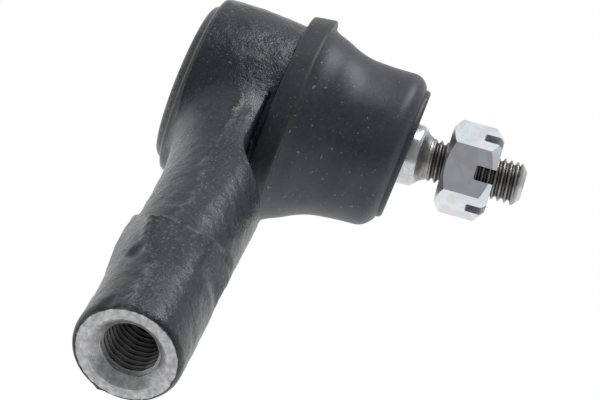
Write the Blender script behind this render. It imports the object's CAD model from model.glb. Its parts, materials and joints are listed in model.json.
import json
import math

import bpy
import numpy as np
from mathutils import Matrix, Vector


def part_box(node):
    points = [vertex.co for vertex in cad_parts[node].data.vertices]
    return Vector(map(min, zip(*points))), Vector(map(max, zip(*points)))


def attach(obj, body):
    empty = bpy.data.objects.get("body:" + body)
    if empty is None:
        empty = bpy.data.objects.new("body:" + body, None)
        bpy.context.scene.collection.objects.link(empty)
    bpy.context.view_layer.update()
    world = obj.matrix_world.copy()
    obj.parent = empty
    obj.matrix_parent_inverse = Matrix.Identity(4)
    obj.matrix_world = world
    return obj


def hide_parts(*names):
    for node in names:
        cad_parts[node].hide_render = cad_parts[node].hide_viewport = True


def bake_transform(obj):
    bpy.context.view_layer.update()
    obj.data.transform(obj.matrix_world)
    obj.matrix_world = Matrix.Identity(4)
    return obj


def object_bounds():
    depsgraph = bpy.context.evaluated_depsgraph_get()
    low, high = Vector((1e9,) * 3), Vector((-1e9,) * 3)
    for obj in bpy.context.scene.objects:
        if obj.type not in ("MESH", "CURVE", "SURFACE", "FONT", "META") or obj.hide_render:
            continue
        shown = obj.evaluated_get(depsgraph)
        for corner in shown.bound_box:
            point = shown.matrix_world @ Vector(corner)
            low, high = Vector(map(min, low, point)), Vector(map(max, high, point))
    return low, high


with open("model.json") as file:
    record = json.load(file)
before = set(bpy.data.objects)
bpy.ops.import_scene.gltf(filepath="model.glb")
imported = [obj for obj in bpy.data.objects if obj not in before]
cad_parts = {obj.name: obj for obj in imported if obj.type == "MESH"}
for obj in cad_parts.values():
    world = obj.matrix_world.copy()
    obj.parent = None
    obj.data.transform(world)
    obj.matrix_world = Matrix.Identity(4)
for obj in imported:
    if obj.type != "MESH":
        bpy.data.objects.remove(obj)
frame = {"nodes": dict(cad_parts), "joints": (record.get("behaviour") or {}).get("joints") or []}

cad_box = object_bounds()

# ---------------------------------------------------------------------------
# Housing: a drop forging of medium carbon steel, a ball socket on a round shank with a
# six-sided wrench section. It is shot-blasted and dipped in black electro-coat, and then
# turned in the socket, faced and tapped M12 x 1.5 at the mouth. Sizes are in millimetres.
# ---------------------------------------------------------------------------
MM = 0.001
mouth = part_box("housing")[1].x / MM
cap_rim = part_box("housing")[0].y / MM
SOCKET_RADIUS = 22.05
SOCKET_TOP = 8.2
NECK_RADIUS = 20.9
NECK_START = 1.95
TUBE_RADIUS = 10.5
WRENCH_HALF_FLATS = 10.4
WRENCH_SHIFT = -1.4
WRENCH_ROUND = 1.6
SHANK_PITCH = 1.5
SHANK_MINOR = 5.19
SHANK_MAJOR = 6.0
SINK_RADIUS = 7.45
SINK_DEPTH = 2.3
HOLE_DEPTH = 46.0
# where each turned piece's own two cross axes and its long axis point, as a matrix's columns
ABOUT_X = np.array([(0, 1, 0), (0, 0, 1), (1, 0, 0)], float).T
ABOUT_Y = np.array([(0, 0, 1), (1, 0, 0), (0, 1, 0)], float).T


def smooth_path(points, spacing):
    """A Catmull-Rom curve through the points, then evenly spaced along its length. Each span
    is the cubic that leaves and meets a point along the line between its two neighbours."""
    held = np.asarray(points, float)
    held = np.vstack([2 * held[0] - held[1], held, 2 * held[-1] - held[-2]])
    share = np.linspace(0, 1, 24, endpoint=False)[None, :, None]
    before, start, end, after = (held[i:len(held) - 3 + i, None, :] for i in range(4))
    curve = 0.5 * (2 * start + (end - before) * share
                   + (2 * before - 5 * start + 4 * end - after) * share ** 2
                   + (3 * start - before - 3 * end + after) * share ** 3)
    curve = np.vstack([curve.reshape(-1, held.shape[1]), held[-2]])
    along = np.concatenate([[0], np.cumsum(np.linalg.norm(np.diff(curve, axis=0), axis=1))])
    places = np.linspace(0, along[-1], max(2, int(along[-1] / spacing) + 1))
    return np.stack([np.interp(places, along, column) for column in curve.T], axis=1)


def turned(profile, axes, columns=128, centre=(0, 0, 0)):
    """A profile of (station, radius) turned about an axis: each point is the centre, plus the
    radius times a unit circle across the axis, plus the station along it. The radius may be
    a row for each station, one value for each column."""
    turn = np.arange(columns) * 2 * np.pi / columns
    station = np.asarray(profile[0], float)[:, None] + 0 * turn
    radius = np.asarray(profile[1], float)
    radius = radius if radius.ndim == 2 else radius[:, None] + 0 * turn
    local = np.stack([radius * np.cos(turn), radius * np.sin(turn), station], axis=-1)
    return local @ axes.T + np.asarray(centre, float)


def skin(name, grid, closed=False):
    """A mesh object over a grid of points whose columns close on themselves. Its rows close
    too, as on a ring, or each end is drawn together in a pole at its row's mean."""
    rows, columns = grid.shape[:2]
    number = np.arange(rows * columns).reshape(rows, columns)
    beside = np.roll(number, -1, axis=1)
    points = grid.reshape(-1, 3)
    if closed:
        above, above_beside = np.roll(number, -1, axis=0), np.roll(beside, -1, axis=0)
        quads = np.stack([number, beside, above_beside, above], axis=-1).reshape(-1, 4)
        corners = np.zeros((0, 3), int)
    else:
        quads = np.stack([number[:-1], beside[:-1], beside[1:], number[1:]], axis=-1)
        quads = quads.reshape(-1, 4)
        poles = len(points) + np.arange(2)
        points = np.vstack([points, grid[0].mean(axis=0), grid[-1].mean(axis=0)])
        first = np.stack([beside[0], number[0], np.full(columns, poles[0])], axis=-1)
        last = np.stack([number[-1], beside[-1], np.full(columns, poles[1])], axis=-1)
        corners = np.vstack([first, last])
    triangles = np.vstack([quads[:, :3], quads[:, [0, 2, 3]], corners])
    a, b, c = (points[triangles[:, i]] for i in range(3))
    if np.einsum("ij,ij->", a, np.cross(b, c)) < 0:
        quads, corners = quads[:, ::-1], corners[:, ::-1]
    mesh = bpy.data.meshes.new(name)
    mesh.from_pydata(points * MM, [], quads.tolist() + corners.tolist())
    mesh.validate()
    piece = bpy.data.objects.new(name, mesh)
    bpy.context.scene.collection.objects.link(piece)
    return piece


def settled(piece):
    """The piece with its modifiers made part of its mesh."""
    bpy.context.view_layer.update()
    made = piece.evaluated_get(bpy.context.evaluated_depsgraph_get())
    mesh = bpy.data.meshes.new_from_object(made)
    piece.modifiers.clear()
    piece.data = mesh
    mesh.name = piece.name
    return piece


def carved(piece, tools, operation="DIFFERENCE"):
    """The piece after a boolean with each closed tool, which is then thrown away."""
    for tool in tools:
        step = piece.modifiers.new("carve", "BOOLEAN")
        step.operation = operation
        step.solver = "MANIFOLD"
        step.object = tool
    settled(piece)
    for tool in tools:
        bpy.data.objects.remove(tool)
    return piece


def smooth_shaded(piece, crease_degrees=32):
    """Smooth shading, with every edge sharper than the crease left crisp."""
    piece.data.shade_smooth()
    piece.data.set_sharp_from_angle(angle=math.radians(crease_degrees))


def places_of(piece):
    """A mesh's points in millimetres."""
    flat = np.zeros(len(piece.data.vertices) * 3)
    piece.data.vertices.foreach_get("co", flat)
    return flat.reshape(-1, 3) / MM


def put_attribute(piece, name, values):
    """A number for every point of a mesh, which a material reads by its name."""
    made = piece.data.attributes.new(name, "FLOAT", "POINT")
    made.data.foreach_set("value", values.astype(np.float32))


def step_up(value, low, high):
    """0 below low, 1 above high, and 3t2 - 2t3 between."""
    share = np.clip((value - low) / (high - low), 0, 1)
    return share * share * (3 - 2 * share)


def bump_at(value, centre, width):
    """A bell of height 1: e to the minus square of the distance over the width."""
    return np.exp(-((value - centre) / width) ** 2)


def filled(first, second, fillet):
    """The lesser of two distances, with the inside corner between them filled: where they
    differ by less than the fillet, a parabola joins them."""
    share = np.clip(0.5 + (second - first) / (2 * fillet), 0, 1)
    return second + (first - second) * share - fillet * share * (1 - share)


def rounded_off(first, second, fillet):
    """The greater of two distances, with the outside corner between them rounded."""
    return -filled(-first, -second, fillet)


def unevenness(place, wavelength, seed):
    """A gentle swell between about -1 and 1: the mean of plane waves in random directions."""
    draw = np.random.default_rng(seed)
    waves = draw.normal(size=(10, 3)) * 2 * np.pi / wavelength / 1.7
    return np.sin(place @ waves.T + draw.uniform(0, 2 * np.pi, 10)).mean(axis=1) * 2.2


# the trimmed flash: its line along the top of the shank, as stations and sideways places
FLASH_STATIONS = (16, 24, 33, 41, 49, 55, 60, 69, 71.2, 72, 74, 81, 83, 87, 102)
FLASH_ASIDE = (-4.4, -4.7, -4.6, -4.8, -4.4, -3.2, -2.3, -3.1, -3.6, -8.2, -7.7, -6.7, -5.5, -2.8, -2.8)
FLASH_HEIGHT = 0.34
FLASH_WIDTH = 0.5
FLASH_DROP = 0.16
LIP_HEIGHT = 0.3
# where the wrench section's step lies along the shank, by degrees round from +Y to -Y
STEP_DEGREES = (0, 24, 46, 65, 78, 105, 130, 155, 175, 180)
STEP_STATIONS = (66, 67.7, 69.9, 71.4, 72.4, 71.4, 70.9, 67.7, 60.8, 60.6)
# the wall beside the boot's ring, by distance from the socket's axis
RELIEF_START = 35.5
RELIEF_REACH = 11.3
RELIEF_RISE = 9.5
RELIEF_WALL = 0.5
RELIEF_GAP = 0.15
# the socket is a little smaller towards the cap, and a fillet joins it to the shank
NARROWING = 0.8
NARROWING_START = -9.0
NARROWING_LENGTH = 9.0
ROOT_FILLET = 3.8
# dents on the upper side: depth, station, half length, sideways place and half width
DENTS = ((0.7, 83.8, 1.7, -6.9, 1.2), (0.5, 101, 1.2, -5.8, 1.0), (0.25, 80.8, 1.8, 6.2, 2.6))


def shank_round(x, y, z):
    """Distance from the shank's round parts. The tube's radius is constant, and the throat
    swells towards the socket while its centre moves aside."""
    tube = np.hypot(y + 0.12, z) - TUBE_RADIUS
    aside = np.interp(x, (12, 25, 44, 60), (-5.5, -2.8, -1.25, -0.87))
    radius = 11.0 + 0.022 * (60 - x) + 3.5 * np.clip((40 - x) / 28, 0, 1) ** 2
    throat = np.hypot(y - aside, z) - radius
    return tube + (throat - tube) * (1 - step_up(x, 66, 84))


def shank_wrench(y, z):
    """Distance from a hexagon with one flat up: the greatest of the distances from its six
    flats, with the corners rounded off."""
    whole = None
    for degrees in range(30, 390, 60):
        turn = math.radians(degrees)
        flat = (y - WRENCH_SHIFT) * math.cos(turn) + z * math.sin(turn) - WRENCH_HALF_FLATS
        whole = flat if whole is None else rounded_off(whole, flat, WRENCH_ROUND)
    return whole


def wall_height(off_socket):
    """The height of the wall beside the boot's ring. It is flat near the socket, and then
    climbs over the shank's side as a parabola."""
    share = np.clip((off_socket - RELIEF_START) / RELIEF_REACH, 0, 1.6)
    return RELIEF_WALL + RELIEF_RISE * share ** 2


def flash_waver(along):
    """How far the flash wanders sideways of its line: two sine waves along the shank."""
    return 0.3 * np.sin(along * 1.1) + 0.2 * np.sin(along * 2.3 + 1)


def step_station(across, up):
    """Where the wrench section's step lies, for points at these places across the shank."""
    return np.interp(np.degrees(np.arctan2(np.abs(up), across)), STEP_DEGREES, STEP_STATIONS)


def forging(place):
    """Distance of points from the forging's skin before machining. The shank mixes from round
    to hexagon at a curved step and back by a slow run-out; the socket is joined to it by a
    fillet; and the space for the boot's ring is cut out of the shank's root."""
    x, y, z = place.T
    sideways = np.cos(np.arctan2(np.abs(z), y))
    step = step_station(y, z)
    share = step_up(x, step - 0.2, step + 1.1)
    share = share * (1 - step_up(x, 72 + 6 * sideways, 87.5 - 4.5 * sideways))
    round_part = shank_round(x, y, z)
    shank = round_part + (shank_wrench(y, z) - round_part) * share
    # above and below alike: the trimmed flash, with the forging a little lower on its +Y side,
    # and the step's own lip
    parted = step_up(x, 18, 26)
    aside = y - np.interp(x, FLASH_STATIONS, FLASH_ASIDE)
    waver = flash_waver(x) * (1 - share)
    shank = shank - parted * FLASH_HEIGHT * bump_at(aside, waver, FLASH_WIDTH)
    shank = shank + parted * FLASH_DROP * step_up(aside, 0.1, 1.3) * step_up(-y, -5.0, -1.5)
    lip = bump_at(x, step + 0.7, 0.55) * step_up(-y, 2.4, 3.8) * step_up(y, -10.5, -8.4)
    shank = shank - parted * LIP_HEIGHT * lip
    shank = rounded_off(shank, x - mouth - 0.62, 2.6)
    off_socket = np.hypot(x, z)
    narrowed = NARROWING * np.clip((NARROWING_START - y) / NARROWING_LENGTH, 0, 1) ** 1.3
    ends = np.maximum(cap_rim - 1.5 - y, y - NECK_START)
    barrel = rounded_off(off_socket - SOCKET_RADIUS + narrowed, ends, 0.35)
    whole = filled(barrel, rounded_off(shank, -x, 2), ROOT_FILLET)
    ring_space = np.maximum(SOCKET_RADIUS + RELIEF_GAP - off_socket, wall_height(off_socket) - y)
    whole = rounded_off(whole, -ring_space, 0.5)
    neck = np.maximum(off_socket - NECK_RADIUS, np.maximum(y - SOCKET_TOP, -5 - y))
    whole = np.minimum(whole, neck)
    dents = 0 * x
    for depth, station, length, beside, width in DENTS:
        dents = dents + depth * bump_at(x, station, length) * bump_at(y, beside, width) * (z > 0)
    swell = 0.07 * unevenness(place, 9, 3) + 0.035 * unevenness(place, 3, 4)
    swell = swell + 0.03 * unevenness(place, 1.9, 5)
    return whole + dents - swell * step_up(mouth - x, 0.0, 4.0)


def pulled_onto(place, distance, rounds):
    """Newton's steps onto a surface: each moves the points down the distance's slope by the
    distance itself, and no further than a millimetre."""
    small = 0.02
    for _ in range(rounds):
        slope = [distance(place + small * way) - distance(place - small * way) for way in np.eye(3)]
        slope = np.stack(slope, axis=1) / (2 * small)
        move = distance(place) / np.maximum((slope ** 2).sum(axis=1), 0.2)
        place = place - np.clip(move, -1, 1)[:, None] * slope
    return place


def evened(place, edges):
    """Every point moved half way to the mean of its neighbours."""
    ends = np.concatenate([edges[:, 0], edges[:, 1]])
    others = np.concatenate([edges[:, 1], edges[:, 0]])
    count = np.maximum(np.bincount(ends, minlength=len(place)), 1)
    mean = [np.bincount(ends, place[others, i], len(place)) / count for i in range(3)]
    return 0.5 * place + 0.5 * np.stack(mean, axis=1)


def raw_forging():
    """The forging's skin: rough turned blanks remeshed into one, then pulled onto it."""
    stations = np.linspace(0, mouth + 0.3, 60)
    swelling = 11 + 4 * np.clip((45 - stations) / 30, 0, 1) ** 2
    blank = skin("housing_shell", turned((stations, swelling), ABOUT_X, 64))
    barrel = turned(((cap_rim - 1.5, NECK_START), (SOCKET_RADIUS,) * 2), ABOUT_Y)
    neck = turned(((-5, SOCKET_TOP), (NECK_RADIUS,) * 2), ABOUT_Y)
    others = [skin("barrel_blank", barrel), skin("neck_blank", neck)]
    carved(blank, others, "UNION")
    inner, outer, top = SOCKET_RADIUS + RELIEF_GAP, 50, 24
    wall = np.linspace(inner, outer, 40)
    wall = np.stack([wall_height(wall), wall], axis=1)
    space = np.vstack([wall, [(top, outer), (top, inner)]])
    carved(blank, [skin("space_blank", turned(space.T, ABOUT_Y), True)])
    remesh = blank.modifiers.new("remesh", "REMESH")
    remesh.mode = "VOXEL"
    remesh.voxel_size = 0.51 * MM
    settled(blank)
    mesh = blank.data
    edges = np.zeros(len(mesh.edges) * 2, int)
    mesh.edges.foreach_get("vertices", edges)
    edges = edges.reshape(-1, 2)
    place = pulled_onto(places_of(blank), forging, 5)
    for _ in range(3):
        place = pulled_onto(evened(place, edges), forging, 2)
    mesh.vertices.foreach_set("co", (place * MM).ravel())
    mesh.update()
    return blank


def thread_height(station, turn, pitch, crest, root):
    """A screw thread's height, 0 at its root and 1 at its crest. Along one pitch it is a
    trapezium with the given shares of crest and root, and it climbs one pitch a turn."""
    share = (station / pitch - turn / (2 * np.pi)) % 1
    from_middle = np.abs(share - 0.5) * 2
    return step_up(1 - from_middle, root, 1 - crest) * 0.4 + 0.6 * np.clip(
        (1 - from_middle - root) / (1 - crest - root), 0, 1)


def shank_tool():
    """What faces, countersinks, drills and taps the shank's mouth, turned about X."""
    columns = 60
    turn = np.arange(columns) * 2 * np.pi / columns
    bottom = mouth - HOLE_DEPTH
    tapped = np.arange(bottom, mouth - 1.2, SHANK_PITCH / 10)
    face = [(mouth, 7.6), (mouth, 9.0), (mouth, 14), (mouth + 3, 14), (mouth + 3, 0.5)]
    station = [[bottom - 3, bottom - 0.1], tapped, [mouth - 0.06], [p[0] for p in face]]
    station = np.concatenate(station)
    drilled = np.interp(station, (bottom - 3, bottom, mouth - SINK_DEPTH, mouth - 0.06),
                        (0.2, SHANK_MINOR, SHANK_MINOR, SINK_RADIUS))
    drilled[-len(face):] = [p[1] for p in face]
    height = 1 - thread_height(station[:, None], turn[None, :], SHANK_PITCH, 0.16, 0.2)
    deep = SHANK_MAJOR - 0.62 * (SHANK_MAJOR - SHANK_MINOR) * (1 - height)
    groove = SHANK_MINOR + (SHANK_MAJOR - SHANK_MINOR) * height
    cut = ((station > bottom + 2) & (station < mouth - 0.1))[:, None]
    radius = np.where(cut, np.maximum(drilled[:, None], groove), drilled[:, None])
    return skin("shank_tool", turned((station, radius), ABOUT_X, columns))


def socket_tool():
    """What turns the socket, about Y: the ledge at its cap's end, the rim that is rolled over
    the cap, the seat's bore, the cone and the opening for the stud."""
    ledge = [(23.0, -16.4), (21.15, -17.6), (20.92, -18.12), (20.6, -18.3), (19.5, -18.62)]
    rim = smooth_path([
        (19.12, -18.8), (18.85, -19.2), (18.6, -19.6), (18.25, -20.0), (17.7, -20.33),
        (17.1, -20.44), (16.5, cap_rim + 0.03), (15.2, cap_rim + 0.03), (14.55, -20.3),
        (14.4, -19.9), (14.4, -19.4)], 0.07)
    inside = np.array([(16.1, -19.4), (16.1, 3.4), (12.9, 7.4), (13.2, SOCKET_TOP + 1),
                       (1, SOCKET_TOP + 1)])
    outside = np.array([(1, -25), (23.0, -25)])
    outline = np.vstack([outside, ledge, rim, inside])
    return skin("socket_tool", turned((outline[:, 1], outline[:, 0]), ABOUT_Y, 192))


class Flow:
    """A socket in a material. Its operators add Math nodes, and add() makes any other node."""

    def __init__(self, tree, socket=None):
        self.tree = tree
        self.socket = socket

    def add(self, kind, settings=(), sockets=(), output=0):
        """A node: its settings first, then its sockets' values or links."""
        made = self.tree.nodes.new("ShaderNode" + kind)
        for name, value in dict(settings).items():
            setattr(made, name, value)
        for name, value in dict(sockets).items():
            if isinstance(value, Flow):
                self.tree.links.new(value.socket, made.inputs[name])
            else:
                made.inputs[name].default_value = value
        return Flow(self.tree, made.outputs[output])

    def maths(self, operation, *values):
        return self.add("Math", {"operation": operation}, dict(enumerate(values)))

    def __add__(self, other):
        return self.maths("ADD", self, other)

    def __radd__(self, other):
        return self.maths("ADD", other, self)

    def __sub__(self, other):
        return self.maths("SUBTRACT", self, other)

    def __rsub__(self, other):
        return self.maths("SUBTRACT", other, self)

    def __mul__(self, other):
        return self.maths("MULTIPLY", self, other)

    def __rmul__(self, other):
        return self.maths("MULTIPLY", other, self)

    def __truediv__(self, other):
        return self.maths("DIVIDE", self, other)

    def __pow__(self, other):
        return self.maths("POWER", self, other)

    def rise(self, low, high):
        """0 at low, 1 at high and smooth between; low may be the greater."""
        settings = {"interpolation_type": "SMOOTHSTEP"}
        if low < high:
            return self.add("MapRange", settings, {0: self, 1: low, 2: high, 3: 0.0, 4: 1.0})
        return self.add("MapRange", settings, {0: self, 1: high, 2: low, 3: 1.0, 4: 0.0})

    def colours(self, first, second):
        """A colour from the first, where this is 0, to the second, where it is 1."""
        pair = [c if isinstance(c, Flow) else (*c, 1.0) for c in (first, second)]
        return self.add("Mix", {"data_type": "RGBA"}, {0: self, 6: pair[0], 7: pair[1]}, 2)

    def noise(self, scale, detail=2.0, roughness=0.5, lean=0.0):
        """Noise between 0 and 1 over this vector, with this many cells to a millimetre."""
        return self.add("TexNoise", {}, {"Vector": self, "Scale": scale, "Detail": detail,
                                         "Roughness": roughness, "Distortion": lean})

    def parts(self):
        """A vector's X, Y and Z."""
        split = self.add("SeparateXYZ", {}, {0: self}).socket.node
        return [Flow(self.tree, socket) for socket in split.outputs]

    def bump(self, height, distance, strength=1.0):
        """A Bump node's normal from a height of 1 that is this many millimetres."""
        return self.add("Bump", {}, {"Height": height, "Distance": distance * MM,
                                     "Strength": strength})


def finish(name, **constants):
    """A material with one Principled shader, whose constant sockets are set here. It gives
    the material, its shader, a Flow for new nodes and the place on the piece in mm."""
    made = bpy.data.materials.new(name)
    made.use_nodes = True
    tree = made.node_tree
    shader = next(n for n in tree.nodes if n.type == "BSDF_PRINCIPLED")
    for socket, value in constants.items():
        shader.inputs[socket.replace("_", " ")].default_value = value
    flow = Flow(tree)
    place = flow.add("TexCoord", output="Object")
    place = flow.add("VectorMath", {"operation": "SCALE"}, {0: place, "Scale": 1 / MM})
    return made, shader, flow, place


def feed(shader, **flows):
    """Link flows to a shader's sockets by their names."""
    for socket, flow in flows.items():
        flow.tree.links.new(flow.socket, shader.inputs[socket.replace("_", " ")])


def paint(piece, material):
    """One material over a whole piece."""
    piece.data.materials.clear()
    piece.data.materials.append(material)


def coated_forging():
    """Black electro-coat over a shot-blasted skin, with the bare turned steel of the mouth
    and the worn edge of the rolled rim."""
    made, shader, flow, place = finish("coated_forging", Specular_IOR_Level=0.5)
    x, y, z = place.parts()
    off_axis = (y * y + z * z) ** 0.5
    off_socket = (x * x + z * z) ** 0.5
    grain = flow.add("Attribute", {"attribute_name": "grain"}, output="Fac")
    soft = place.noise(0.16, 3.0)
    blotch = place.noise(0.5, 4.0, 0.6)
    pebble = place.noise(1.25, 3.0, 0.7)
    speck = place.noise(1.7, 2.0, 0.6)
    tips = speck.rise(0.56, 0.72) * (0.30 + 0.70 * grain)
    pits = pebble.rise(0.46, 0.32) * (0.35 + 0.65 * grain)
    dust = place.noise(1.3, 1.0).rise(0.73, 0.77)
    coat = soft.rise(0.3, 0.7).colours((0.010, 0.012, 0.019), (0.021, 0.024, 0.034))
    coat = (blotch.rise(0.45, 0.75) * 0.5).colours(coat, (0.034, 0.037, 0.047))
    coat = (tips * 0.6).colours(coat, (0.21, 0.215, 0.23))
    coat = (pits * 0.7).colours(coat, (0.004, 0.004, 0.005))
    coat = (dust * 0.6).colours(coat, (0.24, 0.24, 0.25))
    thin = flow.add("Attribute", {"attribute_name": "thin"}, output="Fac")
    coat = (thin * place.noise(0.8, 3.0).rise(0.35, 0.6)).colours(coat, (0.20, 0.21, 0.235))
    # the turned steel of the face, the countersink and the thread
    burr = 9.55 + 0.5 * (place.noise(0.9, 3.0) - 0.5)
    on_face = (off_axis - burr).rise(0.06, -0.06) * x.rise(mouth - 0.9, mouth - 0.5)
    in_hole = off_axis.rise(7.8, 7.6) * x.rise(mouth - 50, mouth - 49)
    bare = flow.maths("MAXIMUM", on_face, in_hole)
    marks = flow.maths("SINE", off_axis * 26 + 3 * place.noise(0.4))
    stain = place.noise(0.9, 4.0, 0.65)
    deep = x.rise(mouth - 1.9, mouth - 3.4)
    steel = stain.rise(0.3, 0.75).colours((0.33, 0.33, 0.34), (0.62, 0.62, 0.63))
    steel = (marks.rise(0.2, 1.0) * 0.3).colours(steel, (0.26, 0.26, 0.27))
    steel = deep.colours(steel, (0.17, 0.165, 0.16))
    # the rim that is rolled over the cap is rubbed bright on its edge
    rim = y.rise(cap_rim + 1.9, cap_rim + 0.7) * off_socket.rise(16.4, 17.3)
    worn = rim * place.noise(1.1, 4.0, 0.7).rise(0.40, 0.56)
    bright = flow.maths("MAXIMUM", bare, worn * 0.85)
    height = pebble * (0.45 + 0.75 * grain) + speck * (0.15 + 0.35 * grain) + blotch * 0.5
    grooved = (marks * 0.12 + stain * 0.5) * 0.16
    bump_height = bare.add("Mix", {"data_type": "FLOAT"}, {0: bare, 2: height, 3: grooved})
    rough = 0.34 - 0.12 * blotch + 0.22 * grain
    feed(shader,
         Base_Color=bright.colours(coat, steel),
         Metallic=bright,
         Roughness=bright.add("Mix", {"data_type": "FLOAT"}, {0: bright, 2: rough, 3: 0.42}),
         Normal=flow.bump(bump_height, 0.30))
    return made


housing = raw_forging()
carved(housing, [shank_tool(), socket_tool()])
smooth_shaded(housing, 38)
place = places_of(housing)
along, across, up = place.T
flash_aside = across - np.interp(along, FLASH_STATIONS, FLASH_ASIDE)
band_end = np.interp(along, (30, 56, 64, 68, 77, 90), (2.6, 1.8, 0.8, 0.8, 2.7, 2.4))
band = step_up(flash_aside, -0.5, 0.5) * step_up(band_end - across, -0.6, 0.9)
band = band * (up > 0) * step_up(along, 24, 40) * (1 - 0.5 * step_up(along, 82, 90))
# the upper flat on the +Y side is rough all over
band = np.maximum(band, step_up(across, 1.5, 3.0) * bump_at(along, 75.5, 5.0) * (up > 0))
put_attribute(housing, "grain", band)
# the coat is thin and pale along the flash and the step's lip
thin = 0.55 * bump_at(flash_aside, flash_waver(along), 0.32) * step_up(along, 34, 46)
thin = np.maximum(thin, 0.6 * bump_at(along, step_station(across, up) + 0.5, 0.4))
put_attribute(housing, "thin", thin)
paint(housing, coated_forging())
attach(housing, "root")
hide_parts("housing")

# ---------------------------------------------------------------------------
# End cap: a pressed steel disc with a shallow dish, set in the socket's end and held by the
# housing's rolled rim. It is coated together with the housing.
# ---------------------------------------------------------------------------
CAP_RADIUS = 16.05


def coated_sheet():
    """Black coat over smooth pressed sheet."""
    made, shader, flow, place = finish("coated_sheet", Specular_IOR_Level=0.5)
    soft = place.noise(0.3, 4.0, 0.6)
    fine = place.noise(1.9, 2.0)
    feed(shader,
         Base_Color=soft.rise(0.3, 0.7).colours((0.020, 0.021, 0.025), (0.040, 0.042, 0.048)),
         Roughness=0.34 + 0.2 * soft,
         Normal=flow.bump(fine + soft, 0.04))
    return made


cap_outside = smooth_path([
    (cap_rim + 2.3, 0.3), (cap_rim + 2.1, 2.5), (cap_rim + 2.0, 6), (cap_rim + 2.0, 9.6),
    (cap_rim + 1.75, 10.8), (cap_rim + 1.2, 12.1), (cap_rim + 1.12, 13.2), (cap_rim + 1.12, 15.4),
    (cap_rim + 1.3, 15.9)], 0.25)
cap_inside = cap_outside[::-1] + np.array([2.0, 0])
cap_edge = np.array([(cap_rim + 1.5, CAP_RADIUS), (cap_rim + 3.0, CAP_RADIUS)])
cap_outline = np.vstack([cap_outside, cap_edge, cap_inside])
cap = skin("end_cap_disc", turned(cap_outline.T, ABOUT_Y))
smooth_shaded(cap)
paint(cap, coated_sheet())
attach(cap, "root")
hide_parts("end_cap")

# ---------------------------------------------------------------------------
# Ball seat and its spring: two halves turned from natural acetal, pressed against the ball
# by a conical spring washer under the cap. All three are closed inside the socket.
# ---------------------------------------------------------------------------


def acetal():
    """Milky bearing plastic with a film of grease."""
    made, shader, flow, place = finish("acetal", Subsurface_Weight=0.1)
    cloud = place.noise(0.25, 3.0)
    feed(shader,
         Base_Color=cloud.colours((0.80, 0.79, 0.72), (0.88, 0.87, 0.81)),
         Roughness=0.3 + 0.2 * cloud,
         Normal=flow.bump(place.noise(1.5, 2.0), 0.02))
    return made


def blued_spring():
    """Hardened strip, blued in its heat treatment."""
    made, shader, flow, place = finish("blued_spring", Metallic=1.0)
    cloud = place.noise(0.35, 3.0)
    feed(shader,
         Base_Color=cloud.rise(0.3, 0.7).colours((0.20, 0.21, 0.25), (0.34, 0.33, 0.33)),
         Roughness=0.3 + 0.15 * cloud,
         Normal=flow.bump(place.noise(2.5, 2.0), 0.01))
    return made


seat_plastic = acetal()
for name in ("lower_seat", "upper_seat"):
    paint(frame["nodes"][name], seat_plastic)
paint(frame["nodes"]["preload_spring"], blued_spring())

# ---------------------------------------------------------------------------
# Ball stud: one turned steel piece. The ball and the taper are ground and polished, and the
# M10 x 1.5 thread is rolled, so it is darker and still oily. It leans with the joint.
# ---------------------------------------------------------------------------
stud_spin = next(joint for joint in frame["joints"] if joint["name"] == "stud_spin")
STUD_WAY = np.array(stud_spin["axis"], float)
ABOUT_STUD = np.stack([(1, 0, 0), np.cross(STUD_WAY, (1, 0, 0)), STUD_WAY], axis=1)
STUD_PITCH = 1.5
STUD_MAJOR = 4.95
STUD_MINOR = 4.10
TAPER_START = 22.5
TAPER_LARGE = 7.85
TAPER_END = 36.0
TAPER_SMALL = 7.15
THREAD_START = 38.9
STUD_TIP = 61.25
BALL_RADIUS = 13.5
BALL_FLAT = 12.9


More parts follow.
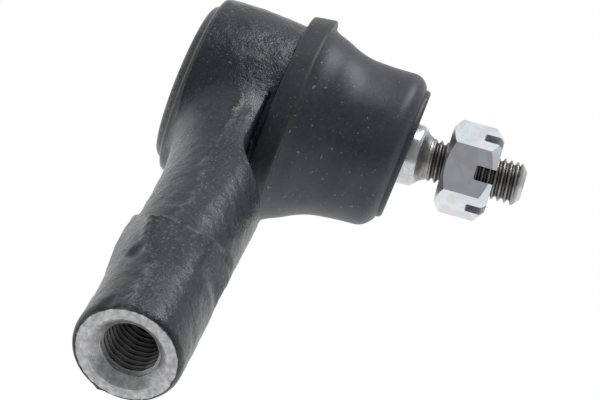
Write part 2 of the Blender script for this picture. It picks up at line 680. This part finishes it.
def ball_stud_skin():
    """The stud's radius over its stations and turns: the ball's circle, a plain neck, the
    taper, a hollow run down to the thread, and the thread with its chamfered tip."""
    columns = 96
    turn = np.arange(columns) * 2 * np.pi / columns
    polar = np.linspace(math.asin(1 / BALL_RADIUS), math.pi / 2, 40) - math.pi / 2
    flat_edge = math.sqrt(BALL_RADIUS ** 2 - BALL_FLAT ** 2)
    low = BALL_RADIUS * np.sin(polar)
    station = [np.full(4, -BALL_FLAT), low[low > -BALL_FLAT]]
    radius = [np.linspace(0.5, flat_edge, 4), np.sqrt(BALL_RADIUS ** 2 - low[low > -BALL_FLAT] ** 2)]
    high = np.linspace(0.2, math.sqrt(BALL_RADIUS ** 2 - 6.9 ** 2), 40)
    station.append(high)
    radius.append(np.sqrt(BALL_RADIUS ** 2 - high ** 2))
    neck = smooth_path([(11.85, 6.75), (12.6, 6.7), (16, 6.8), (20.8, 6.95), (21.6, 7.15),
                        (22.2, 7.6), (22.6, 7.85)], 0.3)
    taper = np.linspace(TAPER_START + 0.3, TAPER_END, 40)
    station += [neck[:, 0], taper]
    radius += [neck[:, 1], np.interp(taper, (TAPER_START, TAPER_END), (TAPER_LARGE, TAPER_SMALL))]
    hollow = smooth_path([(TAPER_END + 0.3, TAPER_SMALL - 0.1), (TAPER_END + 0.7, 6.75),
                          (TAPER_END + 1.1, 6.3), (TAPER_END + 1.6, 5.75), (TAPER_END + 2.2, 5.3),
                          (THREAD_START, 4.97)], 0.1)
    thread = np.arange(THREAD_START + 0.08, STUD_TIP - 0.1, 0.08)
    station += [hollow[:, 0], thread, [STUD_TIP - 0.05, STUD_TIP, STUD_TIP]]
    radius += [hollow[:, 1], np.full(len(thread), STUD_MAJOR), [3.55, 3.4, 1.5]]
    station, radius = np.concatenate(station), np.concatenate(radius)
    height = thread_height(station[:, None], turn[None, :], STUD_PITCH, 0.14, 0.22)
    deep = step_up(station, THREAD_START - 0.2, THREAD_START + 1.6)
    deep = (deep * (1 - step_up(station, STUD_TIP - 1.9, STUD_TIP - 1.5)))[:, None]
    cut = STUD_MAJOR - (STUD_MAJOR - STUD_MINOR) * (1 - height) * deep
    tip = STUD_MAJOR - 1.05 * np.clip(station - (STUD_TIP - 1.45), 0, None)
    cut = np.minimum(cut, tip[:, None])
    threaded = ((station > THREAD_START - 0.2) & (station < STUD_TIP - 0.06))[:, None]
    radius = np.where(threaded, np.minimum(cut, radius[:, None]), radius[:, None])
    return skin("ball_stud_turned", turned((station, radius), ABOUT_STUD, columns))


def stud_steel():
    """Bright ground steel, with the thread darker and oily in its roots."""
    made, shader, flow, place = finish("stud_steel", Metallic=1.0)
    x, y, z = place.parts()
    station = y * float(STUD_WAY[1]) + z * float(STUD_WAY[2])
    beside = z * float(STUD_WAY[1]) - y * float(STUD_WAY[2])
    off_axis = (x * x + beside * beside) ** 0.5
    threaded = station.rise(TAPER_END + 0.7, TAPER_END + 1.6)
    threaded = threaded * station.rise(STUD_TIP - 0.7, STUD_TIP - 1.3)
    stain = place.noise(0.8, 4.0, 0.65)
    grind = flow.maths("SINE", station * 30 + 4 * stain)
    ground = stain.rise(0.3, 0.8).colours((0.66, 0.66, 0.68), (0.50, 0.50, 0.51))
    root = off_axis.rise(4.75, 4.35)
    rolled = stain.rise(0.35, 0.65).colours((0.30, 0.285, 0.26), (0.44, 0.43, 0.40))
    rolled = (root * 0.75).colours(rolled, (0.07, 0.066, 0.06))
    rough = threaded.add("Mix", {"data_type": "FLOAT"}, {0: threaded, 2: 0.20, 3: 0.36})
    feed(shader,
         Base_Color=threaded.colours(ground, rolled),
         Roughness=rough + 0.08 * stain,
         Normal=flow.bump(grind * 0.2 + stain, 0.012))
    return made


stud = ball_stud_skin()
smooth_shaded(stud, 40)
paint(stud, stud_steel())
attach(stud, "stud")
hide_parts("ball_stud")

# ---------------------------------------------------------------------------
# Seal ring: the boot's stiff rim, a steel ring covered in rubber that is pressed over the
# socket's neck. It is a little greyer and browner than the boot.
# ---------------------------------------------------------------------------
ring_low, ring_high = (corner.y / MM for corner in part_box("boot_seal_ring"))
RING_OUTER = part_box("boot_seal_ring")[1].x / MM - 0.05
RING_INNER = 20.95


def dusty_rubber(name, dark, light, rough):
    """Moulded rubber: a faint mottle, a fine grain and a few pale scuffs and specks."""
    made, shader, flow, place = finish(name, Specular_IOR_Level=0.45)
    cloud = place.noise(0.11, 4.0, 0.6)
    mottle = place.noise(0.9, 3.0, 0.6)
    grain = place.noise(3.0, 2.0)
    speck = place.noise(0.75, 1.5, 0.5, 0.4).rise(0.70, 0.745)
    fleck = place.noise(2.0, 1.0).rise(0.72, 0.77)
    colour = cloud.rise(0.3, 0.7).colours(dark, light)
    colour = (mottle.rise(0.4, 0.8) * 0.35).colours(colour, tuple(1.5 * c for c in light))
    colour = (speck * 0.65).colours(colour, (0.27, 0.26, 0.24))
    colour = (fleck * 0.6).colours(colour, (0.24, 0.24, 0.23))
    feed(shader,
         Base_Color=colour,
         Roughness=rough + 0.12 * mottle + 0.1 * speck,
         Normal=flow.bump(mottle * 0.6 + grain * 0.5 + speck * 0.5, 0.05))
    return made


ring_outline = [(RING_INNER, ring_low), (24.3, ring_low), (24.68, ring_low + 0.14),
                (24.85, ring_low + 0.5), (25.15, ring_low + 1.8), (RING_OUTER - 0.15, ring_high - 1.2),
                (RING_OUTER, ring_high - 0.4), (RING_OUTER - 0.12, ring_high - 0.12),
                (RING_OUTER - 0.5, ring_high), (23.7, ring_high), (22.6, ring_high - 0.1),
                (RING_INNER, ring_high - 0.6)]
ring_outline = np.array(ring_outline)
ring = skin("seal_ring_rim", turned((ring_outline[:, 1], ring_outline[:, 0]), ABOUT_Y, 192), True)
smooth_shaded(ring, 50)
paint(ring, dusty_rubber("ring_rubber", (0.024, 0.025, 0.030), (0.044, 0.046, 0.051), 0.38))
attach(ring, "root")
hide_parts("boot_seal_ring")

# ---------------------------------------------------------------------------
# Dust boot: one thin moulding of black rubber, bonded to the seal ring and gripping the
# stud's taper. It is made as a lower and an upper part that share a ring of points, because
# each bends across one of the joint's two hinges.
# ---------------------------------------------------------------------------
BOOT_OUTSIDE = [(ring_high, 24.0), (8.2, 23.45), (9.2, 22.9), (10.2, 22.5), (12, 21.75), (14, 20.75),
                (16, 19.95), (18, 19.4), (20, 19.1), (24, 18.8), (27, 18.72), (28.4, 18.7),
                (29.6, 18.45), (30.6, 17.9), (31.4, 17.1), (32.0, 16.3)]
BOOT_LIP = [(32.08, 15.95), (32.2, 15.62), (32.7, 15.6), (33.2, 15.35), (33.4, 14.9)]
BOOT_END = 33.4
BOOT_WALL = 1.7
BOOT_SEAM = 20.0
BOOT_COLUMNS = 160
# how far the boot's circles move aside for each millimetre above the seal ring
BOOT_SWAY = 0.137
STUD_SWAY = STUD_WAY[2] / STUD_WAY[1]


def leaned(station, radius):
    """Circles of the boot, all square to the socket's axis. The wide ones move aside evenly
    above the seal ring, and the narrow ones keep their centres on the leaning stud."""
    station, radius = np.asarray(station), np.asarray(radius)
    on_stud = step_up(-radius, -14.5, -10.5)
    aside = BOOT_SWAY * np.clip(station - ring_high, 0, None)
    aside = aside + (STUD_SWAY * station - aside) * on_stud
    turn = np.arange(BOOT_COLUMNS) * 2 * np.pi / BOOT_COLUMNS
    side = radius[:, None] * np.sin(turn)
    height = radius[:, None] * np.cos(turn) + aside[:, None]
    return np.stack([side, station[:, None] + 0 * turn, height], axis=-1)


body = smooth_path(BOOT_OUTSIDE, 0.4)
outside = np.vstack([body, BOOT_LIP])
wall_way = np.gradient(body, axis=0)
wall_way = np.stack([wall_way[:, 1], -wall_way[:, 0]], axis=1)
wall_way /= np.linalg.norm(wall_way, axis=1)[:, None]
inside = body + BOOT_WALL * wall_way
inside[:, 0] = np.clip(inside[:, 0], ring_high, BOOT_END - BOOT_WALL)
sleeve = smooth_path([(BOOT_END, 14.0), (BOOT_END, 12.0), (BOOT_END, 9.6), (BOOT_END - 0.05, 8.7),
                      (BOOT_END - 0.4, 8.2), (BOOT_END - 1.2, 7.85), (BOOT_END - 3, 7.8),
                      (BOOT_END - 6.4, 7.95), (BOOT_END - 7.0, 8.4), (BOOT_END - 7.0, 9.1),
                      (BOOT_END - 6.4, 9.55), (BOOT_END - 3.6, 9.5), (BOOT_END - 2.4, 10.2),
                      (BOOT_END - 2.0, 11.6), (BOOT_END - BOOT_WALL, 13.4)], 0.3)


def between(path, low, high):
    """The stretch of a path from one station to another, with its end points worked out."""
    order = path if path[-1, 0] > path[0, 0] else path[::-1]
    inner = order[(order[:, 0] > low + 0.05) & (order[:, 0] < high - 0.05)]
    ends = [(at, np.interp(at, order[:, 0], order[:, 1])) for at in (low, high)]
    return np.vstack([ends[0], inner, ends[1]])


lower_out = between(outside, ring_high, BOOT_SEAM)
lower_in = between(inside[np.argsort(inside[:, 0])], ring_high, BOOT_SEAM)
lower = np.vstack([lower_out, lower_in[::-1]])
upper_out = between(outside, BOOT_SEAM, outside[-1, 0])
upper_in = between(inside[np.argsort(inside[:, 0])], BOOT_SEAM, BOOT_END - BOOT_WALL - 0.1)
upper = np.vstack([upper_out, sleeve, upper_in[::-1]])
boot_rubber = dusty_rubber("boot_rubber", (0.020, 0.024, 0.034), (0.040, 0.046, 0.060), 0.36)
# how high above the ball's centre each part starts and stops taking up its hinge's turn
LOWER_BEND = (ring_high + 0.5, 18.5)
UPPER_BEND = (20.5, 26.2)
for name, outline, bodies, bend in (
        ("dust_boot_lower", lower, ("root", "boot"), LOWER_BEND),
        ("dust_boot_upper", upper, ("boot", "boot_top"), UPPER_BEND)):
    start, end = ((0, height * MM, 0) for height in bend)
    boot = skin(name, leaned(outline[:, 0], outline[:, 1]), True)
    smooth_shaded(boot, 50)
    paint(boot, boot_rubber)
    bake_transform(boot)
    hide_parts("dust_boot")

# ---------------------------------------------------------------------------
# Boot clip: a ring of spring wire round the boot's sleeve, which closes it on the taper. It
# sits inside the boot, out of sight.
# ---------------------------------------------------------------------------


def spring_wire():
    """Drawn steel wire."""
    made, shader, flow, place = finish("spring_wire", Metallic=1.0)
    draw_marks = place.noise(1.2, 3.0)
    feed(shader,
         Base_Color=draw_marks.colours((0.40, 0.40, 0.41), (0.55, 0.55, 0.56)),
         Roughness=0.25 + 0.15 * draw_marks,
         Normal=flow.bump(draw_marks, 0.01))
    return made


paint(frame["nodes"]["boot_clip_ring"], spring_wire())

# ---------------------------------------------------------------------------
# Slotted nut: M10 x 1.5, 19 mm across flats, cold-formed steel with blue-white zinc plate. A
# slot in the middle of every flat takes a split pin. It is screwed part way onto the stud.
# ---------------------------------------------------------------------------
NUT_FLATS = 19.0
NUT_BOTTOM = 42.6
NUT_HEIGHT = 11.8
NUT_TURN = math.radians(28)
SLOT_WIDTH = 3.3
SLOT_DEPTH = 4.5
NUT_MINOR = 4.2
NUT_MAJOR = 5.06
nut_across = np.cross(STUD_WAY, (1, 0, 0))
# the first flat faces between X and the upper side of the stud
FLAT_WAY = math.cos(NUT_TURN) * np.array((1.0, 0, 0)) - math.sin(NUT_TURN) * nut_across
ABOUT_NUT = np.stack([FLAT_WAY, np.cross(STUD_WAY, FLAT_WAY), STUD_WAY], axis=1)
NUT_CENTRE = STUD_WAY * NUT_BOTTOM


def nut_blank():
    """A hexagon prism whose corners are cut by a cone at each end: the prism's sides are
    straight between corners, and the cones' radius grows with the distance from the ends."""
    corner = NUT_FLATS / math.sqrt(3)
    turn = np.radians(np.arange(6) * 60 + 30)
    ring = np.stack([corner * np.cos(turn), corner * np.sin(turn), 0 * turn], axis=1)
    rows = np.array([0, NUT_HEIGHT])[:, None, None] * np.array([0, 0, 1.0])
    prism = skin("castle_nut_plated", (ring[None] + rows) @ ABOUT_NUT.T + NUT_CENTRE)
    heights = (0, 1.6, 2.0, NUT_HEIGHT - 2.6, NUT_HEIGHT - 2.2, NUT_HEIGHT)
    radii = (8.9, corner, corner + 0.4, corner + 0.4, corner, 8.6)
    cones = skin("cones", turned((heights, radii), ABOUT_NUT, 144, NUT_CENTRE))
    return carved(prism, [cones], "INTERSECT")


def nut_slots():
    """Three bars right across the nut's top, each through two opposite flats, with the floor
    of the slot a little rounded."""
    bars = []
    for number in range(3):
        turn = math.radians(60 * number)
        way = np.array([math.cos(turn), math.sin(turn), 0])
        side = np.array([-math.sin(turn), math.cos(turn), 0])
        half, low = SLOT_WIDTH / 2, NUT_HEIGHT - SLOT_DEPTH
        section = np.array([(-half, NUT_HEIGHT + 1), (-half, low + 0.3), (-half + 0.3, low),
                            (half - 0.3, low), (half, low + 0.3), (half, NUT_HEIGHT + 1)])
        ring = section[:, :1] * side + section[:, 1:] * np.array([0, 0, 1.0])
        rows = np.array([-13.0, 13.0])[:, None, None] * way
        bars.append(skin(f"slot_bar_{number}", (ring[None] + rows) @ ABOUT_NUT.T + NUT_CENTRE))
    return bars


def nut_tap():
    """The nut's threaded hole, countersunk at both ends, in step with the stud's thread."""
    columns = 96
    turn = np.arange(columns) * 2 * np.pi / columns
    station = np.concatenate([[-0.6], np.arange(-0.1, NUT_HEIGHT + 0.1, 0.1), [NUT_HEIGHT + 0.6]])
    # the stud's thread as this hole meets it: its own turn starts at the first flat
    ahead = turn - NUT_TURN
    height = thread_height(station[:, None] + NUT_BOTTOM, ahead[None, :], STUD_PITCH, 0.14, 0.22)
    radius = NUT_MINOR + (NUT_MAJOR - NUT_MINOR) * height
    sunk = NUT_MAJOR + 0.35 - np.minimum(station, NUT_HEIGHT - station)
    radius = np.maximum(radius, np.clip(sunk, NUT_MINOR, 6.0)[:, None])
    return skin("nut_tap", turned((station, radius), ABOUT_NUT, columns, NUT_CENTRE))


def zinc_plate():
    """Bright zinc with a clear blue-white passivation that turns rosy and yellow in patches."""
    made, shader, flow, place = finish("zinc_plate", Metallic=1.0)
    x, y, z = place.parts()
    station = y * float(STUD_WAY[1]) + z * float(STUD_WAY[2])
    cloud = place.noise(0.12, 2.0)
    film = place.noise(0.22, 2.0, 0.5, 0.6)
    fine = place.noise(1.6, 4.0, 0.6)
    mark = place.noise(0.7, 3.0, 0.7).rise(0.62, 0.75)
    colour = cloud.rise(0.3, 0.7).colours((0.66, 0.72, 0.76), (0.75, 0.80, 0.83))
    colour = (film.rise(0.46, 0.60) * 0.6).colours(colour, (0.70, 0.60, 0.62))
    colour = (film.rise(0.42, 0.28) * 0.35).colours(colour, (0.58, 0.66, 0.62))
    colour = (mark * 0.3).colours(colour, (0.45, 0.47, 0.48))
    feed(shader,
         Base_Color=colour,
         Roughness=0.30 + 0.14 * fine,
         Normal=flow.bump(fine * 0.7 + cloud, 0.03))
    return made


nut = carved(nut_blank(), nut_slots())
edge_break = nut.modifiers.new("edge_break", "BEVEL")
edge_break.width = 0.26 * MM
edge_break.segments = 2
edge_break.limit_method = "ANGLE"
edge_break.angle_limit = math.radians(24)
edge_break.use_clamp_overlap = True
settled(nut)
carved(nut, [nut_tap()])
smooth_shaded(nut, 30)
paint(nut, zinc_plate())
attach(nut, "nut")
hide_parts("castle_nut")

# ---------------------------------------------------------------------------
# The table, the light and the camera. The table is a sheet of lit white acrylic, the studio
# is light grey and darker on the camera's side, and one wide softbox hangs behind and above.
# ---------------------------------------------------------------------------
floor = bpy.data.meshes.new("floor")
floor_height = cad_box[0].z
reach = 6.0
floor.from_pydata([(-reach, -reach, floor_height), (reach, -reach, floor_height),
                   (reach, reach, floor_height), (-reach, reach, floor_height)], [], [(0, 1, 2, 3)])
floor = bpy.data.objects.new("floor", floor)
bpy.context.scene.collection.objects.link(floor)
acrylic, shader, _, _ = finish("lit_acrylic", Roughness=0.8, Specular_IOR_Level=0.0)
shader.inputs["Base Color"].default_value = (0, 0, 0, 1)
shader.inputs["Emission Color"].default_value = (1, 1, 1, 1)
shader.inputs["Emission Strength"].default_value = 1.0
floor.data.materials.append(acrylic)

camera_data = bpy.data.cameras.new("camera")
camera_data.sensor_width = 36
camera_data.lens = 96.26
camera_data.clip_start = 0.01
camera = bpy.data.objects.new("camera", camera_data)
bpy.context.scene.collection.objects.link(camera)
# turned to look back along the shank, tipped down, and rolled about its own line of sight
CAMERA_PLACE = (0.32624, 0.02964, 0.17850)
CAMERA_TURN, CAMERA_TIP, CAMERA_ROLL = (math.radians(a) for a in (92.70, 58.907, 20.807))
camera.matrix_world = (Matrix.Translation(CAMERA_PLACE)
                       @ Matrix.Rotation(CAMERA_TURN, 4, "Z")
                       @ Matrix.Rotation(CAMERA_TIP, 4, "X")
                       @ Matrix.Rotation(CAMERA_ROLL, 4, "Z"))
bpy.context.scene.camera = camera

world = bpy.data.worlds.new("studio")
world.use_nodes = True
bpy.context.scene.world = world
air = Flow(world.node_tree)
way = air.add("TexCoord", output="Generated")
toward_camera = camera.location.normalized()
facing = air.add("VectorMath", {"operation": "DOT_PRODUCT"}, {0: way, 1: toward_camera}, "Value")
background = next(n for n in world.node_tree.nodes if n.type == "BACKGROUND")
level = 0.72 - 0.38 * facing.rise(-0.2, 0.6)
world.node_tree.links.new(level.socket, background.inputs["Strength"])
background.inputs["Color"].default_value = (0.94, 0.97, 1, 1)


def softbox(name, place, aim, width, height, power):
    """A rectangular area lamp at a place, facing a point."""
    data = bpy.data.lights.new(name, "AREA")
    data.shape = "RECTANGLE"
    data.size, data.size_y = width, height
    data.energy = power
    lamp = bpy.data.objects.new(name, data)
    bpy.context.scene.collection.objects.link(lamp)
    lamp.location = place
    lamp.rotation_euler = (lamp.location - Vector(aim)).to_track_quat("Z", "Y").to_euler()
    return lamp


softbox("overhead_light", (-0.37, 0.16, 0.80), (0.02, 0.01, 0), 0.26, 0.80, 4.2)
bpy.context.scene.view_settings.view_transform = "Standard"
